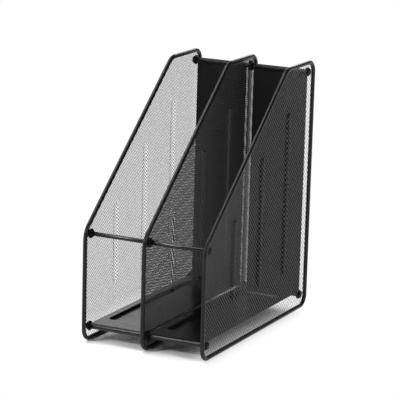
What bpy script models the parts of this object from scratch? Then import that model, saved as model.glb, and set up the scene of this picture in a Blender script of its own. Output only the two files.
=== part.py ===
"""Two-bay mesh magazine file: three wire-framed mesh panels joined by rods, back sheets and base trays.

Units are metres, +Z is up, +X is to the right and the open fronts face -Y.
The origin lies on the desk surface under the middle of the file.
"""
import math

import bmesh
import bpy
from mathutils import Matrix, Vector

MM = 0.001
MERGE = 0.00001
SHARP_ANGLE = math.radians(35.0)

# Fits
CLEARANCE = 0.3 * MM
TURNED_STEPS = 12

# Wire frames: sizes run between wire centres
WIRE_D = 5.3 * MM
WIRE_SIDES = 12
BAY_PITCH = 77.0 * MM
FRAME_DEPTH = 281.4 * MM
FRAME_RISE = 305.0 * MM
STUB_RISE = 129.8 * MM
TOP_RUN = 76.3 * MM
CORNER_R = 13.0 * MM
BEND_R = 24.0 * MM
ARC_STEP = math.radians(16.0)
ARC_LEAST_STEPS = 3

# Mesh panels: the net has few, wide gaps here
MESH_T = 1.0 * MM
MESH_BORDER = 3.0 * MM
NET_HALF_CELL = 17.5 * MM
NET_STRAND = 4.0 * MM
NET_LEAST_GAP = 60.0 * MM * MM
PAD_R = 7.0 * MM
PAD_HOLE_SIDES = 10

# Pressed ribs in the mesh
RIB_W = 12.0 * MM
RIB_DEPTH = 2.0 * MM
RIB_FLANK = 3.0 * MM
RIB_MARGIN = 1.0 * MM
RIB_FRONT = 73.5 * MM
RIB_PITCH = 70.0 * MM
RIB_COUNT = 3
RIB_FOOT = 54.0 * MM
RIB_SLOPE_GAP = 42.0 * MM
RIB_TOP_GAP = 53.0 * MM
RIB_END_STEPS = 4

# Upright wire on the middle mesh
UPRIGHT_D = 4.8 * MM

# Cross rods: insets from the front and rear wires, drops from the slope's foot and the top wire
FRONT_ROD_D = 5.2 * MM
HEM_ROD_D = 4.4 * MM
FRONT_INSET = 11.0 * MM
REAR_INSET = 14.0 * MM
FRONT_TOP_DROP = 3.86 * MM
REAR_TOP_DROP = 11.56 * MM
BASE_ROD_Z = 17.8 * MM

# Fixings at the rod ends
SCREW_D = 2.5 * MM
SCREW_REACH = 10.0 * MM
HEAD_D = 9.0 * MM
HEAD_T = 1.8 * MM
HEAD_EDGE_T = 0.9 * MM
CROWN_D = 4.5 * MM
WASHER_D = 11.5 * MM
WASHER_T = 1.6 * MM
SOCKET_WALL = 0.8 * MM
SOCKET_L = 2.4 * MM

# Sheet metal: back sheets and base trays with rolled hems
SHEET_T = 0.8 * MM
HEM_WRAP = math.radians(250.0)
HEM_STEPS = 10
UPRIGHT_SHEET_GAP = 1.6 * MM
RECESS_DEPTH = 3.2 * MM
RECESS_WALL = 1.2 * MM
RECESS_FRONT = 36.0 * MM
RECESS_REAR = 44.0 * MM
RECESS_SIDE = 11.0 * MM

# Worked out from the sizes above
WIRE_R = WIRE_D / 2
WIRE_FLAT = WIRE_R * math.cos(math.pi / WIRE_SIDES)
FRONT_Y = -FRAME_DEPTH / 2
REAR_Y = FRAME_DEPTH / 2
BASE_Z = WIRE_FLAT
TOP_Z = BASE_Z + FRAME_RISE
STUB_Z = BASE_Z + STUB_RISE
PANEL_X = {"left": -BAY_PITCH, "middle": 0.0, "right": BAY_PITCH}
BAYS = {"left": ("left", "middle"), "right": ("middle", "right")}
MESH_FACE = MESH_T / 2 + CLEARANCE
WASHER_FACE = MESH_FACE + WASHER_T
ROD_END = WASHER_FACE + CLEARANCE
BORE_D = SCREW_D + 2 * CLEARANCE
HEM_MID_R = HEM_ROD_D / 2 + CLEARANCE + SHEET_T / 2
HEM_OUTER_R = HEM_MID_R + SHEET_T / 2
SHEET_Y = REAR_Y - REAR_INSET + HEM_MID_R
REAR_BASE_Y = SHEET_Y - SHEET_T / 2 - CLEARANCE - HEM_OUTER_R
PLATE_Z = BASE_ROD_Z + HEM_MID_R
UPRIGHT_X = -(MESH_FACE + UPRIGHT_D / 2)
UPRIGHT_Y = REAR_Y - REAR_INSET + HEM_ROD_D / 2 + CLEARANCE + UPRIGHT_D / 2
RODS = {
    "front_top": (FRONT_Y + FRONT_INSET, STUB_Z - FRONT_TOP_DROP, FRONT_ROD_D),
    "rear_top": (REAR_Y - REAR_INSET, TOP_Z - REAR_TOP_DROP, HEM_ROD_D),
    "front_base": (FRONT_Y + FRONT_INSET, BASE_ROD_Z, HEM_ROD_D),
    "rear_base": (REAR_BASE_Y, BASE_ROD_Z, HEM_ROD_D),
}

# Panel plane: local x runs to the rear, local y up and local z to the right
PANEL_PLANE = Matrix(((0, 0, 1, 0), (1, 0, 0, 0), (0, 1, 0, 0), (0, 0, 0, 1)))

# Finishes: colour, roughness and metallic value
FINISHES = {
    "wire_coat": ((0.016, 0.016, 0.017), 0.36, 0.0),
    "mesh_coat": ((0.020, 0.020, 0.021), 0.45, 0.0),
    "sheet_coat": ((0.013, 0.013, 0.013), 0.42, 0.0),
    "rod_coat": ((0.015, 0.015, 0.016), 0.34, 0.0),
    "fixing_coat": ((0.012, 0.012, 0.012), 0.50, 0.0),
}


def clear_scene():
    for item in list(bpy.data.objects):
        bpy.data.objects.remove(item)


def new_collection(name):
    collection = bpy.data.collections.new(name)
    bpy.context.scene.collection.children.link(collection)
    return collection


def coat(name, finish):
    """Principled material for one sub-part."""
    colour, roughness, metallic = FINISHES[finish]
    made = bpy.data.materials.new(name + "_" + finish)
    made.use_nodes = True
    shader = made.node_tree.nodes["Principled BSDF"]
    shader.inputs["Base Color"].default_value = (*colour, 1.0)
    shader.inputs["Roughness"].default_value = roughness
    shader.inputs["Metallic"].default_value = metallic
    return made


def add_part(name, data, finish, location=(0.0, 0.0, 0.0)):
    part = bpy.data.objects.new(name, data)
    parts.objects.link(part)
    part.location = location
    part.parent = root
    data.materials.append(coat(name, finish))
    return part


def mesh_from(builder, name):
    """Close a bmesh: faces pointing out, round faces shaded smooth."""
    bmesh.ops.recalc_face_normals(builder, faces=builder.faces)
    mesh = bpy.data.meshes.new(name)
    builder.to_mesh(mesh)
    builder.free()
    mesh.shade_smooth()
    mesh.set_sharp_from_angle(angle=SHARP_ANGLE)
    return mesh


def turned(builder, profile, closed):
    """Turn an (along, radius) profile about the X axis."""
    ring = [builder.verts.new((along, 0.0, radius)) for along, radius in profile]
    pairs = list(zip(ring, ring[1:]))
    if closed:
        pairs.append((ring[-1], ring[0]))
    edges = [builder.edges.new(pair) for pair in pairs]
    bmesh.ops.spin(builder, geom=ring + edges, cent=(0, 0, 0), axis=(1, 0, 0),
                   angle=2 * math.pi, steps=TURNED_STEPS, use_merge=True)
    bmesh.ops.remove_doubles(builder, verts=builder.verts, dist=MERGE)


def panel_outline(inset):
    """Rounded panel outline as (depth, height) points, moved in from the wire's centre line."""
    corners = [
        (Vector((FRONT_Y, BASE_Z)), CORNER_R),
        (Vector((REAR_Y, BASE_Z)), CORNER_R),
        (Vector((REAR_Y, TOP_Z)), CORNER_R),
        (Vector((REAR_Y - TOP_RUN, TOP_Z)), BEND_R),
        (Vector((FRONT_Y, STUB_Z)), BEND_R),
    ]
    points = []
    for index, (corner, radius) in enumerate(corners):
        before = corners[index - 1][0]
        after = corners[(index + 1) % len(corners)][0]
        heading_in = (corner - before).normalized()
        heading_out = (after - corner).normalized()
        inward_in = Vector((-heading_in.y, heading_in.x))
        inward_out = Vector((-heading_out.y, heading_out.x))
        turn = heading_in.angle(heading_out)
        shifted = corner + (inward_in + inward_out) * inset / (1.0 + inward_in.dot(inward_out))
        bend = radius - inset
        start = shifted - heading_in * bend * math.tan(turn / 2)
        centre = start + inward_in * bend
        steps = max(ARC_LEAST_STEPS, round(turn / ARC_STEP))
        for step in range(steps + 1):
            angle = turn * step / steps
            points.append(centre - (inward_in * math.cos(angle) - heading_in * math.sin(angle)) * bend)
    return points


def fixing_points():
    """Rod axes in the panel plane."""
    return [Vector((depth, height)) for depth, height, _ in RODS.values()]


def keep_side(polygon, point, normal):
    """The part of a convex polygon on the normal's side of a line through point."""
    kept = []
    for index, here in enumerate(polygon):
        there = polygon[(index + 1) % len(polygon)]
        side_here = (here - point).dot(normal)
        side_there = (there - point).dot(normal)
        if side_here >= 0:
            kept.append(here)
        if side_here * side_there < 0:
            kept.append(here + (there - here) * (side_here / (side_here - side_there)))
    return kept


def area(polygon):
    total = 0.0
    for index, here in enumerate(polygon):
        there = polygon[(index + 1) % len(polygon)]
        total += here.x * there.y - there.x * here.y
    return abs(total) / 2


def slope_height(depth):
    """Height of the panel's upper edge line over a depth, before rounding."""
    share = (depth - FRONT_Y) / (FRAME_DEPTH - TOP_RUN)
    return STUB_Z + min(share, 1.0) * (TOP_Z - STUB_Z)


def rib_spans():
    """Each pressed rib as its depth, foot and head."""
    spans = []
    for index in range(RIB_COUNT):
        depth = FRONT_Y + RIB_FRONT + index * RIB_PITCH
        head = min(slope_height(depth) - RIB_SLOPE_GAP, TOP_Z - RIB_TOP_GAP)
        spans.append((depth, RIB_FOOT, head))
    return spans


def net_gaps():
    """Diamond gaps of the net, cut back from the border, the ribs and the fixing pads."""
    half = NET_HALF_CELL - NET_STRAND / math.sqrt(2)
    border = panel_outline(WIRE_R + CLEARANCE + MESH_BORDER)
    columns = math.ceil(FRAME_DEPTH / NET_HALF_CELL)
    rows = math.ceil(FRAME_RISE / NET_HALF_CELL)
    first = FRONT_Y + RIB_FRONT - NET_HALF_CELL / 2
    rib_half = RIB_W / 2 + RIB_MARGIN
    gaps = []
    for column in range(-columns, columns + 1):
        for row in range(rows + 1):
            if (column + row) % 2:
                continue
            middle = Vector((first + column * NET_HALF_CELL, BASE_Z + row * NET_HALF_CELL))
            gap = [middle + Vector(step) * half for step in ((1, 0), (0, 1), (-1, 0), (0, -1))]
            for index, point in enumerate(border):
                heading = border[(index + 1) % len(border)] - point
                gap = keep_side(gap, point, Vector((-heading.y, heading.x)))
            for depth, foot, head in rib_spans():
                beside = abs(middle.x - depth) < rib_half + half
                level = foot - rib_half - half < middle.y < head + rib_half + half
                if beside and level:
                    away = Vector((math.copysign(1.0, middle.x - depth), 0.0))
                    gap = keep_side(gap, Vector((depth, 0.0)) + away * rib_half, away)
            for point in fixing_points():
                away = (middle - point).normalized()
                gap = keep_side(gap, point + away * PAD_R, away)
            if len(gap) > 2 and area(gap) > NET_LEAST_GAP:
                gaps.append(gap)
    return gaps


def add_outline(curve, points):
    spline = curve.splines.new("POLY")
    spline.points.add(len(points) - 1)
    for slot, point in zip(spline.points, points):
        slot.co = (point.x, point.y, 0.0, 1.0)
    spline.use_cyclic_u = True


def flat_curve(name, outlines, thickness):
    """Flat plate in the panel plane from closed outlines: the first is the rim, the rest are holes."""
    curve = bpy.data.curves.new(name, "CURVE")
    curve.dimensions = "2D"
    curve.fill_mode = "BOTH"
    curve.extrude = thickness / 2
    for outline in outlines:
        add_outline(curve, outline)
    return curve


def welded_builder(curve):
    """Closed bmesh of a curve's solid, in the curve's own axes."""
    holder = bpy.data.objects.new(curve.name, curve)
    bpy.context.scene.collection.objects.link(holder)
    bpy.context.view_layer.update()
    shown = holder.evaluated_get(bpy.context.evaluated_depsgraph_get())
    mesh = bpy.data.meshes.new_from_object(shown)
    bpy.data.objects.remove(holder)
    builder = bmesh.new()
    builder.from_mesh(mesh)
    bpy.data.meshes.remove(mesh)
    bmesh.ops.remove_doubles(builder, verts=builder.verts, dist=MERGE)
    return builder


def capsule(depth, foot, head):
    """Upright rib outline with round ends."""
    radius = RIB_W / 2
    points = []
    for middle, start in ((head - radius, 0.0), (foot + radius, math.pi)):
        for step in range(RIB_END_STEPS + 1):
            angle = start + math.pi * step / RIB_END_STEPS
            points.append(Vector((depth + radius * math.cos(angle), middle + radius * math.sin(angle))))
    return points


def press_rib(builder, rim, outward):
    """Close a rim-shaped hole in the net with a shell, proud on one face and hollow on the other."""
    rings = []
    for level in (MESH_T / 2, -MESH_T / 2):
        spots = [Vector((point.x, point.y, level)) for point in rim]
        rings.append([min(builder.verts, key=lambda vert: (vert.co - spot).length) for spot in spots])
    edge = set(rings[0] + rings[1])
    walls = [face for face in builder.faces if edge.issuperset(face.verts)]
    bmesh.ops.delete(builder, geom=walls, context="FACES_ONLY")
    for ring in rings:
        crown = builder.faces.new(ring)
        crown.normal_update()
        bmesh.ops.inset_individual(builder, faces=[crown], thickness=RIB_FLANK, use_even_offset=True)
        bmesh.ops.translate(builder, verts=crown.verts, vec=(0.0, 0.0, outward * RIB_DEPTH))


def wire_frame(side):
    """Closed loop of round wire around one panel, turned so that a flat faces the desk."""
    name = side + "_side_frame"
    curve = bpy.data.curves.new(name, "CURVE")
    curve.dimensions = "3D"
    curve.bevel_depth = WIRE_R
    curve.bevel_resolution = WIRE_SIDES // 2 - 2
    outline = panel_outline(0.0)
    spline = curve.splines.new("POLY")
    spline.points.add(len(outline) - 1)
    for slot, point in zip(spline.points, outline):
        slot.co = (0.0, point.x, point.y, 1.0)
        slot.tilt = math.pi / WIRE_SIDES
    spline.use_cyclic_u = True
    spline.use_smooth = True
    add_part(name, curve, "wire_coat", (PANEL_X[side], 0.0, 0.0))


def mesh_panel(side, outward):
    """Net inside one wire loop, with solid pads at the rod ends and ribs pressed outward."""
    name = side + "_side_mesh"
    ribs = [capsule(*span) for span in rib_spans()]
    outlines = [panel_outline(WIRE_R + CLEARANCE)] + net_gaps() + ribs
    for point in fixing_points():
        angles = [2 * math.pi * step / PAD_HOLE_SIDES for step in range(PAD_HOLE_SIDES)]
        outlines.append([point + Vector((math.cos(a), math.sin(a))) * BORE_D / 2 for a in angles])
    builder = welded_builder(flat_curve(name, outlines, MESH_T))
    for rim in ribs:
        press_rib(builder, rim, outward)
    bmesh.ops.transform(builder, matrix=PANEL_PLANE, verts=builder.verts)
    add_part(name, mesh_from(builder, name), "mesh_coat", (PANEL_X[side], 0.0, 0.0))


def middle_upright():
    """Straight wire behind the rear rods, on the middle mesh's left face, between the round corners."""
    lean = math.asin((UPRIGHT_Y + UPRIGHT_D / 2 - (REAR_Y - CORNER_R)) / CORNER_R)
    inset = CORNER_R * (1.0 - math.cos(lean)) + WIRE_R / math.cos(lean) + CLEARANCE
    foot = BASE_Z + inset
    head = TOP_Z - inset
    builder = bmesh.new()
    bmesh.ops.create_cone(builder, cap_ends=True, segments=TURNED_STEPS, radius1=UPRIGHT_D / 2,
                          radius2=UPRIGHT_D / 2, depth=head - foot)
    mesh = mesh_from(builder, "middle_upright")
    add_part("middle_upright", mesh, "wire_coat", (UPRIGHT_X, UPRIGHT_Y, (foot + head) / 2))


def bay_ends(bay):
    """Planes of the two panels beside a bay."""
    left, right = BAYS[bay]
    return PANEL_X[left], PANEL_X[right]


def beside_upright(bay, place):
    """True for the rods whose inner washer would meet the upright wire."""
    return bay == "left" and place.startswith("rear")


def cross_rod(bay, place):
    """Tube between a bay's end fixings, or up to the mesh where the upright leaves no room for one."""
    depth, height, diameter = RODS[place]
    start, end = bay_ends(bay)
    start += ROD_END
    end -= MESH_FACE if beside_upright(bay, place) else ROD_END
    half = (end - start) / 2
    name = bay + "_" + place + "_rod"
    builder = bmesh.new()
    bore, skin = BORE_D / 2, diameter / 2
    turned(builder, [(-half, bore), (half, bore), (half, skin), (-half, skin)], True)
    add_part(name, mesh_from(builder, name), "rod_coat", ((start + end) / 2, depth, height))


def washer_profile():
    bore, rim = BORE_D / 2, WASHER_D / 2
    return [(0.0, bore), (WASHER_T, bore), (WASHER_T, rim), (0.0, rim)]


def socket_profile():
    """Washer with a short collar round the rod's end."""
    bore, rim = BORE_D / 2, WASHER_D / 2
    seat = FRONT_ROD_D / 2 + CLEARANCE
    lip = WASHER_T + SOCKET_L
    return [(0.0, bore), (WASHER_T, bore), (WASHER_T, seat), (lip, seat), (lip, seat + SOCKET_WALL),
            (WASHER_T, seat + SOCKET_WALL), (WASHER_T, rim), (0.0, rim)]


def end_fixings(bay, place):
    """Fixings at both ends of a rod: sockets on the exposed front rods, plain washers beside the hems."""
    depth, height, _ = RODS[place]
    kind = "socket" if place == "front_top" else "washer"
    profile = socket_profile() if place == "front_top" else washer_profile()
    for plane, inward in zip(bay_ends(bay), (1, -1)):
        end = "inner" if plane == PANEL_X["middle"] else "outer"
        if end == "inner" and beside_upright(bay, place):
            continue
        name = "_".join((bay, place, end, kind))
        builder = bmesh.new()
        turned(builder, [(inward * along, radius) for along, radius in profile], True)
        place_at = (plane + inward * MESH_FACE, depth, height)
        add_part(name, mesh_from(builder, name), "fixing_coat", place_at)


def outer_screw(side, place, inward):
    """Screw from the outer face of an end panel into a rod."""
    depth, height, _ = RODS[place]
    name = side + "_" + place + "_screw"
    tip = MESH_FACE + ROD_END + SCREW_REACH
    head, shank = HEAD_D / 2, SCREW_D / 2
    profile = [(-HEAD_T, 0.0), (-HEAD_T, CROWN_D / 2), (-HEAD_EDGE_T, head), (0.0, head),
               (0.0, shank), (tip, shank), (tip, 0.0)]
    builder = bmesh.new()
    turned(builder, [(inward * along, radius) for along, radius in profile], False)
    place_at = (PANEL_X[side] - inward * MESH_FACE, depth, height)
    add_part(name, mesh_from(builder, name), "fixing_coat", place_at)


def middle_stud(place):
    """Stud through the middle panel, joining the rods of the two bays."""
    depth, height, _ = RODS[place]
    name = "middle_" + place + "_stud"
    reach = ROD_END + SCREW_REACH
    shank = SCREW_D / 2
    builder = bmesh.new()
    turned(builder, [(-reach, 0.0), (-reach, shank), (reach, shank), (reach, 0.0)], False)
    add_part(name, mesh_from(builder, name), "fixing_coat", (PANEL_X["middle"], depth, height))


def hem_arc(place, start, sweep):
    """Middle line of a rolled hem round a rod, as (depth, height) points."""
    depth, height, _ = RODS[place]
    angles = [start + sweep * step / HEM_STEPS for step in range(HEM_STEPS + 1)]
    return [Vector((depth + HEM_MID_R * math.cos(a), height + HEM_MID_R * math.sin(a))) for a in angles]


def swept_sheet(profile, stations):
    """Open surface: a (depth, height) line extruded through X stations, in rows of vertices."""
    builder = bmesh.new()
    row = [builder.verts.new((stations[0], point.x, point.y)) for point in profile]
    edges = [builder.edges.new(pair) for pair in zip(row, row[1:])]
    for here, there in zip(stations, stations[1:]):
        made = bmesh.ops.extrude_edge_only(builder, edges=edges)["geom"]
        moved = {item for item in made if isinstance(item, bmesh.types.BMVert)}
        rims = [item for item in made if isinstance(item, bmesh.types.BMEdge)]
        edges = [edge for edge in rims if moved.issuperset(edge.verts)]
        bmesh.ops.translate(builder, verts=list(moved), vec=(there - here, 0.0, 0.0))
    return builder


def add_sheet(name, builder):
    part = add_part(name, mesh_from(builder, name), "sheet_coat")
    wall = part.modifiers.new("sheet", "SOLIDIFY")
    wall.thickness = SHEET_T
    wall.offset = 0.0
    wall.use_even_offset = True


def back_sheet(bay):
    """Sheet with its top edge rolled round the rear top rod; the left one stops short of the upright."""
    profile = hem_arc("rear_top", HEM_WRAP, -HEM_WRAP)
    profile.append(Vector((SHEET_Y, BASE_ROD_Z - HEM_OUTER_R)))
    start, end = bay_ends(bay)
    start += ROD_END
    end = UPRIGHT_X - UPRIGHT_D / 2 - UPRIGHT_SHEET_GAP if bay == "left" else end - ROD_END
    add_sheet(bay + "_back_sheet", swept_sheet(profile, (start, end)))


def base_tray(bay):
    """Bottom plate with a sunk middle, rolled round the two base rods."""
    front = FRONT_Y + RECESS_FRONT
    rear = REAR_Y - RECESS_REAR
    quarter = math.pi / 2
    profile = hem_arc("front_base", quarter + HEM_WRAP, -HEM_WRAP)
    for depth in (front, front + RECESS_WALL, rear - RECESS_WALL, rear):
        profile.append(Vector((depth, PLATE_Z)))
    profile += hem_arc("rear_base", quarter, -HEM_WRAP)
    start, end = bay_ends(bay)
    left = start + RECESS_SIDE
    right = end - RECESS_SIDE
    stations = [start + ROD_END, left, left + RECESS_WALL, right - RECESS_WALL, right, end - ROD_END]
    builder = swept_sheet(profile, stations)
    sunk = [vert for vert in builder.verts
            if left + MERGE < vert.co.x < right - MERGE
            and front + MERGE < vert.co.y < rear - MERGE]
    bmesh.ops.translate(builder, verts=sunk, vec=(0.0, 0.0, -RECESS_DEPTH))
    add_sheet(bay + "_base_tray", builder)


clear_scene()
parts = new_collection("mesh_magazine_file")
root = bpy.data.objects.new("mesh_magazine_file", None)
parts.objects.link(root)

for panel, press in (("left", -1), ("middle", 1), ("right", 1)):
    wire_frame(panel)
    mesh_panel(panel, press)
middle_upright()
for bay_name in BAYS:
    back_sheet(bay_name)
    base_tray(bay_name)
    for rod_place in RODS:
        cross_rod(bay_name, rod_place)
        end_fixings(bay_name, rod_place)
for rod_place in RODS:
    outer_screw("left", rod_place, 1)
    outer_screw("right", rod_place, -1)
    middle_stud(rod_place)
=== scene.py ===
"""Looks of the two-bay mesh magazine file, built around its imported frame.

Units are metres, +Z is up, +X is to the right and the open fronts face -Y.
"""
import math

import bpy
import numpy as np
from mathutils import Matrix, Vector


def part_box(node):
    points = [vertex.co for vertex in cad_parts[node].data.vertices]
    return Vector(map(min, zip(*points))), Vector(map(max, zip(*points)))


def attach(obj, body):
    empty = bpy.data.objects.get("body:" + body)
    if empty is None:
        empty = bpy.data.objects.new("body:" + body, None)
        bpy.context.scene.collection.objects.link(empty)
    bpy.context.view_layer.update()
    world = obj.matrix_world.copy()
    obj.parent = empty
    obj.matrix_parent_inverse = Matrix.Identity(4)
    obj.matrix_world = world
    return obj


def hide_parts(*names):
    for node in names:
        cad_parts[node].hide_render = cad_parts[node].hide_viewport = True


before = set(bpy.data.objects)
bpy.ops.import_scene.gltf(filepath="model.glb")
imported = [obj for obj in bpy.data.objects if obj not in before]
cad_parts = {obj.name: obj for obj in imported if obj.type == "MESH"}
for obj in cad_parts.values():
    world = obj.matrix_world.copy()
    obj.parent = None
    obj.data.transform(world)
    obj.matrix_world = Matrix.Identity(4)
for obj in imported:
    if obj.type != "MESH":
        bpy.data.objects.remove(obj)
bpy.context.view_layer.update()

MM = 0.001

# Wire frames: sizes run between wire centres
WIRE_R = 2.55 * MM
BAY_PITCH = 77.0 * MM
FRAME_DEPTH = 281.4 * MM
FRAME_RISE = 305.0 * MM
STUB_RISE = 129.8 * MM
TOP_RUN = 76.3 * MM
CORNER_R = 13.0 * MM
BEND_R = 24.0 * MM
FRONT_Y = -FRAME_DEPTH / 2
REAR_Y = FRAME_DEPTH / 2
BASE_Z = 2.56 * MM
TOP_Z = BASE_Z + FRAME_RISE
PANEL_X = {"left": -BAY_PITCH, "middle": 0.0, "right": BAY_PITCH}
BAY_START_X = {"left": PANEL_X["left"], "right": PANEL_X["middle"]}
WIRE_SIDES = 24
ARC_STEP = math.radians(5.0)
ARC_STEPS_LEAST = 6

# Expanded mesh: a cell measures from its centre to its tips
# The lattices differ so that they don't beat against each other in the photographed view
CELL_RUN = {"left": 1.7 * MM, "middle": 1.7 * MM, "right": 2.4 * MM}
CELL_RISE = {"left": 2.12 * MM, "middle": 2.12 * MM, "right": 2.99 * MM}
STRAND_W = {"left": 0.58 * MM, "middle": 0.9 * MM, "right": 0.6 * MM}
STRAND_T = 0.26 * MM
STRAND_SLANT = {"left": 0.22 * MM, "middle": -0.64 * MM, "right": 0.5 * MM}
MESH_REACH = 1.2 * MM
MESH_TILT = {"left": math.radians(2.8), "middle": math.radians(47.8), "right": math.radians(2.8)}
MESH_BANDS = 2
MESH_SPARE_CELLS = 2

# Pressed ribs of the meshes
RIB_COUNT = 3
RIB_SIDE = {"left": -1.0, "middle": 1.0, "right": 1.0}
RIB_R = 6.0 * MM
RIB_FLANK = 3.6 * MM
RIB_DEPTH = 2.0 * MM
RIB_FRONT = 73.5 * MM
RIB_PITCH = 70.0 * MM
RIB_FOOT = 54.0 * MM
RIB_SLOPE_GAP = 42.0 * MM
RIB_TOP_GAP = 53.0 * MM

# Sheet metal
SHEET_T = 0.8 * MM
HEM_MID_R = 2.9 * MM
HEM_WRAP = math.radians(250.0)
HEM_STEPS = 36
BACK_ROWS = 60
BACK_STEP = 6.0 * MM
TRAY_STEP_ALONG = 5.0 * MM
TRAY_STEP_ACROSS = 4.0 * MM
RECESS_DEPTH = 3.2 * MM
RECESS_WALL = 2.2 * MM
RECESS_CORNER = 6.0 * MM
RECESS_FRONT = 36.0 * MM
RECESS_REAR = 44.0 * MM
RECESS_SIDE = 11.0 * MM
RECESS_LEAD = 1.0 * MM
RECESS_STATIONS = 22
STATION_GAP_LEAST = 0.02 * MM

# Turned pieces: rods, washers, sockets and screws
TURNED_STEPS = 40
EDGE_R = 0.25 * MM
EDGE_STEPS = 3
EDGE_SHARE = 0.45
BORE_R = 1.55 * MM
WASHER_T = 1.6 * MM
SEAT_R = 2.9 * MM
COLLAR_R = 3.7 * MM
HEAD_R = 4.5 * MM
HEAD_T = 1.8 * MM
SHANK_R = 1.25 * MM
DOME_SWEEP = 1.35
DOME_POINTS = 7
SMOOTH = math.radians(40.0)

# Powder coat: noise sizes in object space, and where its tones and gloss lie
COAT_IOR = 1.5
CLOUD_SCALE = 60.0
CLOUD_DETAIL = 4.0
CLOUD_LOW = 0.3
CLOUD_HIGH = 0.75
PIMPLE_DETAIL = 2.0
PIMPLE_LOW = 0.3
PIMPLE_HIGH = 0.7
GLOSS_SWING = 0.05
PIMPLE_HEIGHT = 0.05 * MM

# Camera: place in metres, turns in radians, lens and sensor in millimetres
CAMERA_PLACE = (1.1293, -2.2656, 0.7467)
CAMERA_YAW = -0.46285
CAMERA_PITCH = 0.23067
CAMERA_ROLL = 0.02803
CAMERA_LENS = 197.14
CAMERA_SENSOR = 36.0
CAMERA_FAR = 100.0

# Floor: its tone in bounced light and as seen, and the patch that takes the object's shadow
FLOOR_HALF = 20.0
FLOOR_DROP = 0.0001
FLOOR_BOUNCED = (0.8, 0.8, 0.8, 1.0)
FLOOR_SEEN = (1.35, 1.35, 1.35, 1.0)
FLOOR_GLOW = 1.0
SHADOW_MIDDLE = (-0.0175, -0.03, 0.0)
SHADOW_HALF = (0.0675, 0.12, 0.0)
SHADOW_FADE = 0.05
ZERO = (0.0, 0.0, 0.0)

# Light: the surround, then each lamp's place, target, size and radiance
SURROUND_COLOUR = (1.0, 1.0, 1.0, 1.0)
SURROUND_STRENGTH = 0.1
LAMPS = {
    "top_lamp": ((-0.45, -0.1, 1.3), (0.0, 0.0, 0.1), (0.7, 0.7), 6.0),
    "key_lamp": ((-0.545, -0.95, 0.75), (0.0, -0.05, 0.15), (0.18, 0.2), 40.0),
    "strip_lamp": ((-0.83, -0.76, 0.2), (0.08, -0.14, 0.1), (0.3, 0.4), 8.0),
    "side_lamp": ((0.9, -0.35, 0.6), (0.08, 0.0, 0.15), (0.4, 0.5), 5.5),
    "left_lamp": ((-1.2, 0.35, 0.45), (0.0, 0.0, 0.15), (0.9, 0.7), 2.2),
    "back_lamp": ((-0.6, 1.0, 0.3), (-0.04, 0.0, 0.05), (0.8, 0.6), 2.0),
    "rear_top_lamp": ((-0.2, 1.5, 1.1), (0.0, 0.0, 0.25), (0.8, 0.5), 5.0),
}


def linked(name, data):
    """New object in the scene."""
    made = bpy.data.objects.new(name, data)
    bpy.context.scene.collection.objects.link(made)
    return made


def add_piece(name, points, faces, material, nodes, smooth_angle=None):
    """New mesh piece that stands for CAD nodes and takes one finish."""
    mesh = bpy.data.meshes.new(name)
    mesh.from_pydata(points, [], faces)
    mesh.update()
    if smooth_angle is not None:
        mesh.shade_smooth()
        mesh.set_sharp_from_angle(angle=smooth_angle)
    piece = linked(name, mesh)
    mesh.materials.append(material)
    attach(piece, "root")
    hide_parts(*nodes)


def node_box(name):
    """Lowest and highest corner of a CAD node."""
    low, high = (Vector(corner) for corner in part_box(name))
    return low, high


def smooth_step(ramp):
    """Eased ramp from 0 to 1."""
    return ramp * ramp * (3.0 - 2.0 * ramp)


def ring_faces(rings, sides):
    """Quads between closed rings of points, with the last ring joined to the first."""
    faces = []
    for ring in range(rings):
        here = ring * sides
        there = (ring + 1) % rings * sides
        for side in range(sides):
            after = (side + 1) % sides
            faces.append((here + side, here + after, there + after, there + side))
    return faces


def panel_outline(inset):
    """Rounded panel outline as (depth, height) rows, moved in from the wire's centre line."""
    corners = [
        (Vector((FRONT_Y, BASE_Z)), CORNER_R),
        (Vector((REAR_Y, BASE_Z)), CORNER_R),
        (Vector((REAR_Y, TOP_Z)), CORNER_R),
        (Vector((REAR_Y - TOP_RUN, TOP_Z)), BEND_R),
        (Vector((FRONT_Y, BASE_Z + STUB_RISE)), BEND_R),
    ]
    points = []
    for index, (corner, radius) in enumerate(corners):
        before = corners[index - 1][0]
        after = corners[(index + 1) % len(corners)][0]
        heading_in = (corner - before).normalized()
        heading_out = (after - corner).normalized()
        inward_in = Vector((-heading_in.y, heading_in.x))
        inward_out = Vector((-heading_out.y, heading_out.x))
        turn = heading_in.angle(heading_out)
        shifted = corner + (inward_in + inward_out) * inset / (1.0 + inward_in.dot(inward_out))
        bend = radius - inset
        centre = shifted - heading_in * bend * math.tan(turn / 2) + inward_in * bend
        steps = max(ARC_STEPS_LEAST, round(turn / ARC_STEP))
        for step in range(steps + 1):
            angle = turn * step / steps
            points.append(centre - (inward_in * math.cos(angle) - heading_in * math.sin(angle)) * bend)
    return np.array(points)


def loop_tube(x, outline):
    """Round wire along a closed outline in a panel plane."""
    heading = np.roll(outline, -1, axis=0) - np.roll(outline, 1, axis=0)
    heading /= np.linalg.norm(heading, axis=1)[:, None]
    inward = np.stack((-heading[:, 1], heading[:, 0]), axis=1)
    angles = np.arange(WIRE_SIDES) * 2 * math.pi / WIRE_SIDES
    across = np.cos(angles)[None, :, None] * inward[:, None, :]
    flat = outline[:, None, :] + WIRE_R * across
    sideways = np.broadcast_to(x + WIRE_R * np.sin(angles), flat.shape[:2])
    points = np.concatenate((sideways[:, :, None], flat), axis=2).reshape(-1, 3)
    return points.tolist(), ring_faces(len(outline), WIRE_SIDES)


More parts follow.
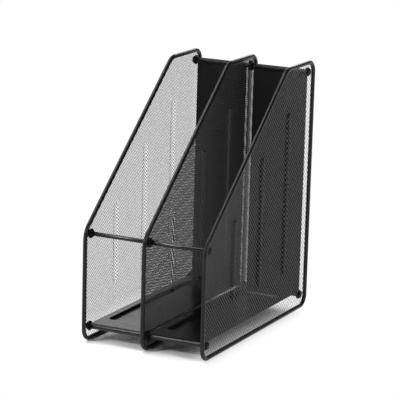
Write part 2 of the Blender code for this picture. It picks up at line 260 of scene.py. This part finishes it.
def signed_gap(points, outline):
    """Distance from each point to a closed outline, positive inside, with the nearest outline point."""
    along = np.roll(outline, -1, axis=0) - outline
    length2 = (along ** 2).sum(axis=1)
    offset = points[:, None, :] - outline[None]
    share = np.clip((offset * along[None]).sum(axis=2) / length2, 0.0, 1.0)
    nearest = outline[None] + share[:, :, None] * along[None]
    gap = np.linalg.norm(points[:, None, :] - nearest, axis=2)
    best = gap.argmin(axis=1)
    rows = np.arange(len(points))
    cross = along[None, :, 0] * offset[:, :, 1] - along[None, :, 1] * offset[:, :, 0]
    sign = np.where(cross[rows, best] >= 0, 1.0, -1.0)
    return sign * gap[rows, best], nearest[rows, best]


def rib_rise(flat):
    """How far the pressed ribs lift each (depth, height) point off the panel plane."""
    rise = np.zeros(len(flat))
    for index in range(RIB_COUNT):
        depth = FRONT_Y + RIB_FRONT + index * RIB_PITCH
        share = min((depth - FRONT_Y) / (FRAME_DEPTH - TOP_RUN), 1.0)
        edge = BASE_Z + STUB_RISE + share * (FRAME_RISE - STUB_RISE)
        head = min(edge - RIB_SLOPE_GAP, TOP_Z - RIB_TOP_GAP)
        level = np.clip(flat[:, 1], RIB_FOOT + RIB_R, head - RIB_R)
        away = np.hypot(flat[:, 0] - depth, flat[:, 1] - level)
        ramp = np.clip((RIB_R - away) / RIB_FLANK, 0.0, 1.0)
        rise = np.maximum(rise, RIB_DEPTH * smooth_step(ramp))
    return rise


def mesh_cells(side):
    """Lattice places of one panel's gaps in bands of rows, what turns places to points, and the limit."""
    limit = panel_outline(-MESH_REACH)
    half_span = math.hypot(FRAME_DEPTH, FRAME_RISE) / 2
    pitch = (CELL_RUN[side], CELL_RISE[side])
    counts = [int(half_span / size) + MESH_SPARE_CELLS for size in pitch]
    columns, rows = (np.arange(-count, count + 1) for count in counts)
    cells = np.stack(np.meshgrid(rows, columns, indexing="ij"), axis=2).reshape(-1, 2)[:, ::-1]
    cells = cells[(cells.sum(axis=1) % 2) == 0]
    tilt = MESH_TILT[side]
    turn = np.array(((math.cos(tilt), math.sin(tilt)), (-math.sin(tilt), math.cos(tilt))))
    middle = np.array((0.0, (BASE_Z + TOP_Z) / 2))

    def spot(lattice):
        return middle + (lattice * pitch) @ turn

    cells = cells[signed_gap(spot(cells), limit)[0] > 0]
    return np.array_split(cells, MESH_BANDS), spot, limit


def expanded_mesh(side, cells, spot, limit):
    """Slit and stretched sheet, running into the wire all round."""
    steps = np.array(((1, 0), (0, 1), (-1, 0), (0, -1)))
    tips = (cells[:, None, :] + steps[None]).reshape(-1, 2)
    keys, corner_of = np.unique(tips, axis=0, return_inverse=True)
    corner_of = corner_of.reshape(-1, 4)
    corners = spot(keys)
    inside, nearest = signed_gap(corners, limit)
    corners = np.where((inside < 0)[:, None], nearest, corners)
    centres = corners[corner_of].mean(axis=1)
    tip = 1.0 - STRAND_W[side] / 2 * math.hypot(1.0 / CELL_RUN[side], 1.0 / CELL_RISE[side])
    gaps = (centres[:, None] + (corners[corner_of] - centres[:, None]) * tip).reshape(-1, 2)
    shift = np.array((STRAND_SLANT[side] / 2, 0.0))
    half = STRAND_T / 2
    points = []
    for flat, out in ((corners, half), (corners, -half), (gaps - shift, half), (gaps + shift, -half)):
        across = PANEL_X[side] + out + RIB_SIDE[side] * rib_rise(flat)
        points.append(np.column_stack((across, flat)))
    front, back, gap_front, gap_back = np.cumsum([0] + [len(layer) for layer in points[:3]])
    corner = corner_of.ravel()
    after = np.roll(corner_of, -1, axis=1).ravel()
    here = np.arange(len(corner))
    there = np.roll(here.reshape(-1, 4), -1, axis=1).ravel()
    quads = [(front + corner, front + after, gap_front + there, gap_front + here),
             (gap_front + here, gap_front + there, gap_back + there, gap_back + here),
             (gap_back + here, gap_back + there, back + after, back + corner)]
    sides = np.sort(np.stack((corner, after), axis=1), axis=1)
    which, used = np.unique(sides, axis=0, return_inverse=True, return_counts=True)[1:]
    edge = used[which.ravel()] == 1
    quads.append((front + corner[edge], back + corner[edge], back + after[edge], front + after[edge]))
    faces = np.concatenate([np.stack(quad, axis=1) for quad in quads])
    return np.concatenate(points).tolist(), faces.tolist()


def turned(centre, profile, axis_sign=1.0):
    """Closed solid: an (along, radius) profile turned about a line along X."""
    points = []
    for along, radius in profile:
        for step in range(TURNED_STEPS):
            angle = 2 * math.pi * step / TURNED_STEPS
            points.append((centre[0] + axis_sign * along, centre[1] + radius * math.cos(angle),
                           centre[2] + radius * math.sin(angle)))
    faces = ring_faces(len(profile), TURNED_STEPS)
    if axis_sign < 0:
        faces = [face[::-1] for face in faces]
    return points, faces


def rounded(corners):
    """Profile with each corner rounded off."""
    made = []
    for index, corner in enumerate(corners):
        here = Vector(corner)
        back = Vector(corners[index - 1]) - here
        on = Vector(corners[(index + 1) % len(corners)]) - here
        cut = min(EDGE_R, back.length * EDGE_SHARE, on.length * EDGE_SHARE)
        start = here + back.normalized() * cut
        end = here + on.normalized() * cut
        for step in range(EDGE_STEPS + 1):
            share = step / EDGE_STEPS
            made.append(tuple(start * (1 - share) ** 2 + here * 2 * share * (1 - share) + end * share ** 2))
    return made


def hem_arc(place, start):
    """Rolled edge round a rod, as (depth, height) rows."""
    depth, height = place
    angles = start - HEM_WRAP * np.arange(HEM_STEPS + 1) / HEM_STEPS
    return np.stack((depth + HEM_MID_R * np.cos(angles), height + HEM_MID_R * np.sin(angles)), axis=1)


def swept(across, profile):
    """Grid of points: a (depth, height) profile repeated at each station across."""
    sheet = np.zeros((len(across), len(profile), 3))
    sheet[:, :, 0] = across[:, None]
    sheet[:, :, 1:] = profile[None]
    return sheet


def thick_grid(sheet):
    """Closed solid from a grid of surface points: both faces and the rim."""
    normal = np.cross(np.gradient(sheet, axis=0), np.gradient(sheet, axis=1))
    normal /= np.linalg.norm(normal, axis=2)[:, :, None]
    rows, columns = sheet.shape[:2]
    count = rows * columns
    upper = (sheet + normal * SHEET_T / 2).reshape(-1, 3)
    lower = (sheet - normal * SHEET_T / 2).reshape(-1, 3)
    index = np.arange(count).reshape(rows, columns)
    corners = (index[:-1, :-1], index[1:, :-1], index[1:, 1:], index[:-1, 1:])
    quads = np.stack(corners, axis=2).reshape(-1, 4)
    under = quads[:, [0, 3, 2, 1]] + count
    loop = np.concatenate((index[0, :-1], index[:-1, -1], index[-1, :0:-1], index[:0:-1, 0]))
    after = np.roll(loop, -1)
    rim = np.stack((loop, after, after + count, loop + count), axis=1)
    return np.concatenate((upper, lower)).tolist(), np.concatenate((quads, under, rim)).tolist()


def stations(start, end, fine, step):
    """Positions from start to end, close together inside the fine spans."""
    spots = [start, end]
    for low, high in fine:
        spots += np.linspace(low, high, RECESS_STATIONS).tolist()
    spots = sorted(spots)
    made = [spots[0]]
    for spot in spots[1:]:
        last = made[-1]
        gap = spot - last
        if gap < STATION_GAP_LEAST:
            continue
        pieces = max(1, math.ceil(gap / step))
        made += [last + gap * (piece + 1) / pieces for piece in range(pieces)]
    return np.array(made)


def rod_place(bay, place):
    """Depth and height of a rod's centre line."""
    low, high = node_box(bay + "_" + place + "_rod")
    centre = (low + high) / 2
    return centre.y, centre.z


def back_sheet(bay):
    """Upright sheet with its top edge rolled round the rear top rod."""
    low, high = node_box(bay + "_back_sheet")
    hem = hem_arc(rod_place(bay, "rear_top"), HEM_WRAP)
    drop = np.linspace(hem[-1, 1], low.z, BACK_ROWS)[1:]
    profile = np.concatenate((hem, np.column_stack((np.full(len(drop), hem[-1, 0]), drop))))
    return thick_grid(swept(stations(low.x, high.x, [], BACK_STEP), profile))


def base_tray(bay):
    """Bottom plate with a pressed, sunk middle, rolled round the two base rods."""
    low, high = node_box(bay + "_base_tray")
    front_hem = hem_arc(rod_place(bay, "front_base"), math.pi / 2 + HEM_WRAP)
    rear_hem = hem_arc(rod_place(bay, "rear_base"), math.pi / 2)
    left = BAY_START_X[bay] + RECESS_SIDE
    right = BAY_START_X[bay] + BAY_PITCH - RECESS_SIDE
    front = FRONT_Y + RECESS_FRONT
    rear = REAR_Y - RECESS_REAR
    fine = RECESS_CORNER + RECESS_WALL
    fine_along = [(front - RECESS_LEAD, front + fine), (rear - fine, rear + RECESS_LEAD)]
    fine_across = [(left - RECESS_LEAD, left + fine), (right - fine, right + RECESS_LEAD)]
    run = stations(front_hem[-1, 0], rear_hem[0, 0], fine_along, TRAY_STEP_ALONG)[1:-1]
    plate = np.column_stack((run, np.full(len(run), front_hem[-1, 1])))
    profile = np.concatenate((front_hem, plate, rear_hem))
    across = stations(low.x, high.x, fine_across, TRAY_STEP_ACROSS)
    sheet = swept(across, profile)
    half_x = (right - left) / 2 - RECESS_CORNER
    half_y = (rear - front) / 2 - RECESS_CORNER
    out_x = np.abs(across - (left + right) / 2)[:, None] - half_x
    out_y = np.abs(profile[:, 0] - (front + rear) / 2)[None, :] - half_y
    edge = np.hypot(np.maximum(out_x, 0), np.maximum(out_y, 0)) + np.minimum(np.maximum(out_x, out_y), 0)
    ramp = np.clip((RECESS_CORNER - edge) / RECESS_WALL, 0.0, 1.0)
    sheet[:, :, 2] -= RECESS_DEPTH * smooth_step(ramp)
    return thick_grid(sheet)


def noise_value(tree, place, scale, detail):
    """Value socket of a noise in object space."""
    noise = tree.nodes.new("ShaderNodeTexNoise")
    noise.inputs["Scale"].default_value = scale
    noise.inputs["Detail"].default_value = detail
    tree.links.new(place.outputs["Object"], noise.inputs["Vector"])
    return noise.outputs["Fac"]


def powder_coat(name, colour, roughness, shine, grain, peel, dust):
    """Satin powder coat: fine pimpled bump, uneven gloss and a faint cloudy tone."""
    made = bpy.data.materials.new(name)
    made.use_nodes = True
    tree = made.node_tree
    shader = tree.nodes["Principled BSDF"]
    shader.inputs["Metallic"].default_value = 0.0
    shader.inputs["IOR"].default_value = COAT_IOR
    shader.inputs["Specular IOR Level"].default_value = shine
    place = tree.nodes.new("ShaderNodeTexCoord")
    cloud = noise_value(tree, place, CLOUD_SCALE, CLOUD_DETAIL)
    pimple = noise_value(tree, place, grain, PIMPLE_DETAIL)
    tone = tree.nodes.new("ShaderNodeValToRGB")
    dark, light = tone.color_ramp.elements
    dark.position = CLOUD_LOW
    dark.color = (*(c * (1.0 - dust) for c in colour), 1.0)
    light.position = CLOUD_HIGH
    light.color = (*(c * (1.0 + dust) for c in colour), 1.0)
    tree.links.new(cloud, tone.inputs["Fac"])
    tree.links.new(tone.outputs["Color"], shader.inputs["Base Color"])
    gloss = tree.nodes.new("ShaderNodeMapRange")
    gloss.inputs["From Min"].default_value = PIMPLE_LOW
    gloss.inputs["From Max"].default_value = PIMPLE_HIGH
    gloss.inputs["To Min"].default_value = roughness - GLOSS_SWING
    gloss.inputs["To Max"].default_value = roughness + GLOSS_SWING
    tree.links.new(pimple, gloss.inputs["Value"])
    tree.links.new(gloss.outputs["Result"], shader.inputs["Roughness"])
    bump = tree.nodes.new("ShaderNodeBump")
    bump.inputs["Strength"].default_value = peel
    bump.inputs["Distance"].default_value = PIMPLE_HEIGHT
    tree.links.new(pimple, bump.inputs["Height"])
    tree.links.new(bump.outputs["Normal"], shader.inputs["Normal"])
    return made


WIRE_COAT = powder_coat("wire_powder_coat", (0.006, 0.006, 0.0065),
                        roughness=0.3, shine=0.3, grain=1300.0, peel=0.3, dust=0.15)
MESH_COAT = powder_coat("mesh_powder_coat", (0.008, 0.008, 0.0085),
                        roughness=0.35, shine=0.85, grain=1700.0, peel=0.12, dust=0.2)
SHEET_COAT = powder_coat("sheet_powder_coat", (0.006, 0.006, 0.006),
                         roughness=0.34, shine=0.17, grain=1400.0, peel=0.3, dust=0.12)
TRAY_COAT = powder_coat("tray_powder_coat", (0.006, 0.006, 0.006),
                        roughness=0.22, shine=0.32, grain=1400.0, peel=0.2, dust=0.12)
ROD_COAT = powder_coat("rod_powder_coat", (0.005, 0.005, 0.0055),
                       roughness=0.16, shine=0.36, grain=1300.0, peel=0.12, dust=0.15)
FIXING_COAT = powder_coat("fixing_powder_coat", (0.004, 0.004, 0.004),
                          roughness=0.45, shine=0.2, grain=1600.0, peel=0.3, dust=0.15)


def make_panels():
    """Wire frames and the meshes inside them."""
    for side, x in PANEL_X.items():
        points, faces = loop_tube(x, panel_outline(0.0))
        add_piece(side + "_frame_wire", points, faces, WIRE_COAT, [side + "_side_frame"], SMOOTH)
        bands, spot, limit = mesh_cells(side)
        for number, cells in enumerate(bands, 1):
            points, faces = expanded_mesh(side, cells, spot, limit)
            name = side + "_expanded_mesh_" + str(number)
            add_piece(name, points, faces, MESH_COAT, [side + "_side_mesh"])


def make_upright():
    """Upright wire beside the middle panel's rear wire: turned along X, then stood on end."""
    low, high = node_box("middle_upright")
    centre = (low + high) / 2
    reach = (high.z - low.z) / 2
    radius = (high.y - low.y) / 2
    profile = rounded([(-reach, 0.0), (-reach, radius), (reach, radius), (reach, 0.0)])
    points, faces = turned(ZERO, profile)
    points = [(centre.x + z, centre.y + y, centre.z - x) for x, y, z in points]
    add_piece("middle_upright_wire", points, faces, WIRE_COAT, ["middle_upright"], SMOOTH)


def make_sheets():
    """Back sheet and base tray of each bay."""
    for bay in BAY_START_X:
        points, faces = back_sheet(bay)
        add_piece(bay + "_back_panel", points, faces, SHEET_COAT, [bay + "_back_sheet"], SMOOTH)
        points, faces = base_tray(bay)
        add_piece(bay + "_floor_tray", points, faces, TRAY_COAT, [bay + "_base_tray"], SMOOTH)


def make_rods():
    """Cross rods: tubes with rounded rims."""
    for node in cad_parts:
        if not node.endswith("_rod"):
            continue
        low, high = node_box(node)
        half = (high.x - low.x) / 2
        radius = (high.z - low.z) / 2
        profile = rounded([(-half, BORE_R), (-half, radius), (half, radius), (half, BORE_R)])
        points, faces = turned((low + high) / 2, profile)
        add_piece(node + "_tube", points, faces, ROD_COAT, [node], SMOOTH)


def fixing_profile(node, radius, length):
    """Profile of a washer, socket or screw from its outer face inwards, or None for other nodes."""
    if node.endswith("_washer"):
        return [(0.0, BORE_R), (0.0, radius), (length, radius), (length, BORE_R)]
    if node.endswith("_socket"):
        return [(0.0, BORE_R), (0.0, radius), (WASHER_T, radius), (WASHER_T, COLLAR_R),
                (length, COLLAR_R), (length, SEAT_R), (WASHER_T, SEAT_R), (WASHER_T, BORE_R)]
    if node.endswith("_screw"):
        angles = np.linspace(0.0, DOME_SWEEP, DOME_POINTS)
        dome = [(HEAD_T * (1.0 - math.cos(angle)), HEAD_R * math.sin(angle)) for angle in angles]
        return dome + [(HEAD_T, HEAD_R), (HEAD_T, SHANK_R), (length, SHANK_R), (length, 0.0)]
    return None


def make_fixings():
    """Washers, sockets and screws, and the coat of the studs, which keep their CAD solids."""
    for node in list(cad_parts):
        if node.endswith("_stud"):
            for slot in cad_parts[node].material_slots:
                slot.material = FIXING_COAT
        low, high = node_box(node)
        profile = fixing_profile(node, (high.z - low.z) / 2, high.x - low.x)
        if profile is None:
            continue
        inward = 1.0 if node.startswith("left") == ("inner" not in node) else -1.0
        centre = (low + high) / 2
        base = (low.x if inward > 0 else high.x, centre.y, centre.z)
        points, faces = turned(base, rounded(profile), inward)
        add_piece(node + "_turned", points, faces, FIXING_COAT, [node], SMOOTH)


def place_camera():
    """Camera at the photographed viewpoint, turned by yaw, pitch and roll."""
    level = math.cos(CAMERA_PITCH)
    ahead = Vector((math.sin(CAMERA_YAW) * level, math.cos(CAMERA_YAW) * level, -math.sin(CAMERA_PITCH)))
    aside = Vector((math.cos(CAMERA_YAW), -math.sin(CAMERA_YAW), 0.0))
    above = aside.cross(ahead)
    right = aside * math.cos(CAMERA_ROLL) + above * math.sin(CAMERA_ROLL)
    up = above * math.cos(CAMERA_ROLL) - aside * math.sin(CAMERA_ROLL)
    data = bpy.data.cameras.new("camera")
    data.sensor_width = CAMERA_SENSOR
    data.lens = CAMERA_LENS
    data.clip_end = CAMERA_FAR
    camera = linked("camera", data)
    turn = Matrix((right, up, -ahead)).transposed().to_4x4()
    camera.matrix_world = Matrix.Translation(CAMERA_PLACE) @ turn
    bpy.context.scene.camera = camera


def larger(tree, first, second):
    """Socket with the larger of two values."""
    node = tree.nodes.new("ShaderNodeMath")
    node.operation = "MAXIMUM"
    tree.links.new(first, node.inputs[0])
    tree.links.new(second, node.inputs[1])
    return node.outputs["Value"]


def beyond_shadow(tree):
    """Socket that is 0 on the shadow patch and rises to 1 past its faded edge."""
    spot = tree.nodes.new("ShaderNodeTexCoord").outputs["Object"]
    steps = (("SUBTRACT", SHADOW_MIDDLE), ("ABSOLUTE", None), ("SUBTRACT", SHADOW_HALF), ("MAXIMUM", ZERO))
    for operation, amount in steps:
        step = tree.nodes.new("ShaderNodeVectorMath")
        step.operation = operation
        tree.links.new(spot, step.inputs[0])
        if amount is not None:
            step.inputs[1].default_value = amount
        spot = step.outputs["Vector"]
    reach = tree.nodes.new("ShaderNodeVectorMath")
    reach.operation = "LENGTH"
    tree.links.new(spot, reach.inputs[0])
    far = tree.nodes.new("ShaderNodeMapRange")
    far.interpolation_type = "SMOOTHSTEP"
    far.inputs["From Max"].default_value = SHADOW_FADE
    tree.links.new(reach.outputs["Value"], far.inputs["Value"])
    return far.outputs["Result"]


def floor_paper():
    """White paper that shows the object's shadow on one patch and glows white beyond it."""
    paper = bpy.data.materials.new("floor_paper")
    paper.use_nodes = True
    tree = paper.node_tree
    tree.nodes.clear()
    path = tree.nodes.new("ShaderNodeLightPath")
    direct = larger(tree, path.outputs["Is Camera Ray"], path.outputs["Is Transmission Ray"])
    seen = larger(tree, direct, path.outputs["Is Glossy Ray"])
    pick = tree.nodes.new("ShaderNodeMix")
    pick.data_type = "RGBA"
    pick.inputs["A"].default_value = FLOOR_BOUNCED
    pick.inputs["B"].default_value = FLOOR_SEEN
    tree.links.new(seen, pick.inputs["Factor"])
    diffuse = tree.nodes.new("ShaderNodeBsdfDiffuse")
    tree.links.new(pick.outputs["Result"], diffuse.inputs["Color"])
    glow = tree.nodes.new("ShaderNodeEmission")
    glow.inputs["Strength"].default_value = FLOOR_GLOW
    blend = tree.nodes.new("ShaderNodeMixShader")
    tree.links.new(beyond_shadow(tree), blend.inputs["Fac"])
    tree.links.new(diffuse.outputs["BSDF"], blend.inputs[1])
    tree.links.new(glow.outputs["Emission"], blend.inputs[2])
    out = tree.nodes.new("ShaderNodeOutputMaterial")
    tree.links.new(blend.outputs["Shader"], out.inputs["Surface"])
    return paper


def make_floor():
    """Large level floor, a hair below the object."""
    signs = ((-1, -1), (1, -1), (1, 1), (-1, 1))
    mesh = bpy.data.meshes.new("floor")
    mesh.from_pydata([(x * FLOOR_HALF, y * FLOOR_HALF, 0.0) for x, y in signs], [], [(0, 1, 2, 3)])
    mesh.materials.append(floor_paper())
    floor = linked("floor", mesh)
    floor.location = (0.0, 0.0, -FLOOR_DROP)


def make_surround():
    """Dim white surround."""
    world = bpy.data.worlds.new("studio")
    bpy.context.scene.world = world
    world.use_nodes = True
    back = world.node_tree.nodes["Background"]
    back.inputs["Color"].default_value = SURROUND_COLOUR
    back.inputs["Strength"].default_value = SURROUND_STRENGTH


def area_lamp(name, place, target, size, radiance):
    """Soft rectangular lamp of one brightness, out of the camera's sight."""
    data = bpy.data.lights.new(name, "AREA")
    data.shape = "RECTANGLE"
    data.size, data.size_y = size
    data.energy = math.pi * radiance * size[0] * size[1]
    lamp = linked(name, data)
    lamp.location = place
    lamp.rotation_euler = (Vector(target) - Vector(place)).to_track_quat("-Z", "Y").to_euler()
    lamp.visible_camera = False


make_panels()
make_upright()
make_sheets()
make_rods()
make_fixings()
place_camera()
make_floor()
make_surround()
for lamp_name, lamp_values in LAMPS.items():
    area_lamp(lamp_name, *lamp_values)
bpy.context.scene.view_settings.view_transform = "Standard"
